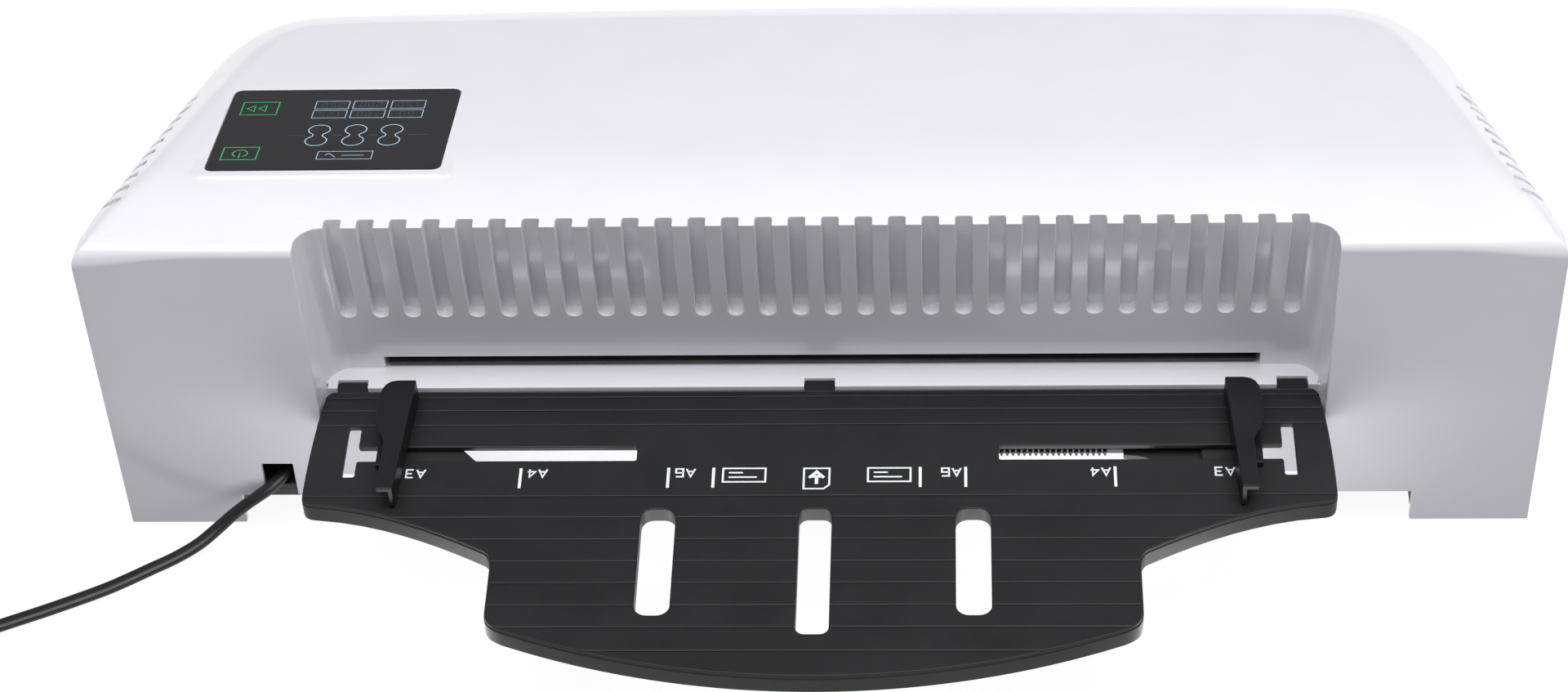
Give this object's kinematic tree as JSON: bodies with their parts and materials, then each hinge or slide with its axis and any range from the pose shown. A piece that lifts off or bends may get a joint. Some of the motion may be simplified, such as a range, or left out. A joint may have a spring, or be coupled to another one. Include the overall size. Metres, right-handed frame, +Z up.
{
  "type": "pouch laminator",
  "caption": "Wide desktop pouch laminator with a removable feed tray, rack-linked paper guides, heated and cold roller pairs, a touch display and a mains lead.",
  "frame": {"origin": "on the table, under the middle of the machine with its tray", "axes": "+X to the right seen from the feed side, -Y towards the feed side, +Z up"},
  "size_m": [0.6883, 0.326, 0.14],
  "materials": {
    "casing_white": "glossy moulded white",
    "base_dark": "fine matt texture",
    "foot_rubber": "matt",
    "display_black": "polished black window",
    "circuit_board": "green solder mask",
    "tray_black": "satin black, fine texture",
    "guide_black": "half-gloss black",
    "rack_black": "satin black",
    "gear_plastic": "natural acetal",
    "roller_silicone": "red silicone",
    "shaft_steel": "ground steel",
    "bush_brass": "sintered",
    "frame_steel": "zinc plated sheet",
    "spring_steel": "spring wire",
    "motor_steel": "plated motor can",
    "heater_aluminium": "extruded plate",
    "guide_heat_resistant": "glass-filled, matt",
    "lead_black": "soft pvc",
    "tie_black": "soft",
    "plug_black": "moulded pvc"
  },
  "bodies": {
    "machine": {"base_pan": "base_dark", "cold_roller_lower_bush_left": "bush_brass", "cold_roller_lower_bush_right": "bush_brass", "cold_roller_upper_bush_left": "bush_brass", "cold_roller_upper_bush_right": "bush_brass", "control_board": "circuit_board", "cord_tie": "tie_black", "display_board": "circuit_board", "display_window": "display_black", "drive_motor": "motor_steel", "entry_guide": "guide_heat_resistant", "exit_guide": "guide_heat_resistant", "foot_front_left": "foot_rubber", "foot_front_right": "foot_rubber", "foot_rear_left": "foot_rubber", "foot_rear_right": "foot_rubber", "heater_plate_lower": "heater_aluminium", "heater_plate_upper": "heater_aluminium", "hot_roller_lower_bush_left": "bush_brass", "hot_roller_lower_bush_right": "bush_brass", "hot_roller_upper_bush_left": "bush_brass", "hot_roller_upper_bush_right": "bush_brass", "idler_pin": "shaft_steel", "mains_plug": "plug_black", "middle_guide_lower": "guide_heat_resistant", "middle_guide_upper": "guide_heat_resistant", "power_board": "circuit_board", "power_cord": "lead_black", "power_cord_coil": "lead_black", "power_cord_tail": "lead_black", "pressure_spring_cold_left": "spring_steel", "pressure_spring_cold_right": "spring_steel", "pressure_spring_hot_left": "spring_steel", "pressure_spring_hot_right": "spring_steel", "side_frame_left": "frame_steel", "side_frame_right": "frame_steel", "strain_relief": "lead_black", "thermostat": "guide_heat_resistant", "top_cover": "casing_white"},
    "tray": {"feed_tray": "tray_black", "rack_cover": "rack_black"},
    "left_guide": {"guide_left": "guide_black", "guide_rack_left": "rack_black"},
    "right_guide": {"guide_right": "guide_black", "guide_rack_right": "rack_black"},
    "rack_pinion": {"guide_pinion": "gear_plastic"},
    "hot_roller_lower_set": {"hot_roller_lower": "roller_silicone", "hot_roller_lower_shaft": "shaft_steel", "hot_roller_lower_gear": "gear_plastic"},
    "hot_roller_upper_set": {"hot_roller_upper": "roller_silicone", "hot_roller_upper_shaft": "shaft_steel", "hot_roller_upper_gear": "gear_plastic"},
    "cold_roller_lower_set": {"cold_roller_lower": "roller_silicone", "cold_roller_lower_shaft": "shaft_steel", "cold_roller_lower_gear": "gear_plastic"},
    "cold_roller_upper_set": {"cold_roller_upper": "roller_silicone", "cold_roller_upper_shaft": "shaft_steel", "cold_roller_upper_gear": "gear_plastic"},
    "idler": {"idler_gear": "gear_plastic"},
    "motor_shaft": {"motor_pinion": "gear_plastic"}
  },
  "joints": [
    {"name": "tray_pull", "type": "slide", "parent": "machine", "child": "tray", "axis": [0, -1, 0], "range_m": [0, 0.03]},
    {"name": "left_guide_slide", "type": "slide", "parent": "tray", "child": "left_guide", "axis": [1, 0, 0], "range_m": [-0.004, 0.082]},
    {"name": "right_guide_slide", "type": "slide", "parent": "tray", "child": "right_guide", "axis": [1, 0, 0], "range_m": [-0.083, 0.0042]},
    {"name": "rack_pinion_spin", "type": "hinge", "parent": "tray", "child": "rack_pinion", "pos_m": [0, -0.0588, 0.05555], "axis": [0, 0, 1], "range_deg": [-52, 1036]},
    {"name": "hot_lower_spin", "type": "hinge", "parent": "machine", "child": "hot_roller_lower_set", "pos_m": [0, 0.038, 0.05265], "axis": [1, 0, 0], "continuous": true},
    {"name": "hot_upper_spin", "type": "hinge", "parent": "machine", "child": "hot_roller_upper_set", "pos_m": [0, 0.038, 0.07795], "axis": [1, 0, 0], "continuous": true},
    {"name": "cold_lower_spin", "type": "hinge", "parent": "machine", "child": "cold_roller_lower_set", "pos_m": [0, 0.093, 0.05265], "axis": [1, 0, 0], "continuous": true},
    {"name": "cold_upper_spin", "type": "hinge", "parent": "machine", "child": "cold_roller_upper_set", "pos_m": [0, 0.093, 0.07795], "axis": [1, 0, 0], "continuous": true},
    {"name": "idler_spin", "type": "hinge", "parent": "machine", "child": "idler", "pos_m": [-0.1925, 0.0655, 0.05265], "axis": [1, 0, 0], "continuous": true},
    {"name": "motor_spin", "type": "hinge", "parent": "machine", "child": "motor_shaft", "pos_m": [-0.1925, 0.0655, 0.03165], "axis": [1, 0, 0], "continuous": true}
  ],
  "couplings": [
    {"joint": "right_guide_slide", "follows": "left_guide_slide", "ratio": -1},
    {"joint": "rack_pinion_spin", "follows": "left_guide_slide", "rad_per_m": 219.78},
    {"joint": "hot_upper_spin", "follows": "hot_lower_spin", "ratio": -1},
    {"joint": "cold_lower_spin", "follows": "hot_lower_spin", "ratio": 1},
    {"joint": "cold_upper_spin", "follows": "hot_lower_spin", "ratio": -1},
    {"joint": "idler_spin", "follows": "hot_lower_spin", "ratio": -0.83333},
    {"joint": "motor_spin", "follows": "hot_lower_spin", "ratio": 2.0833}
  ]
}
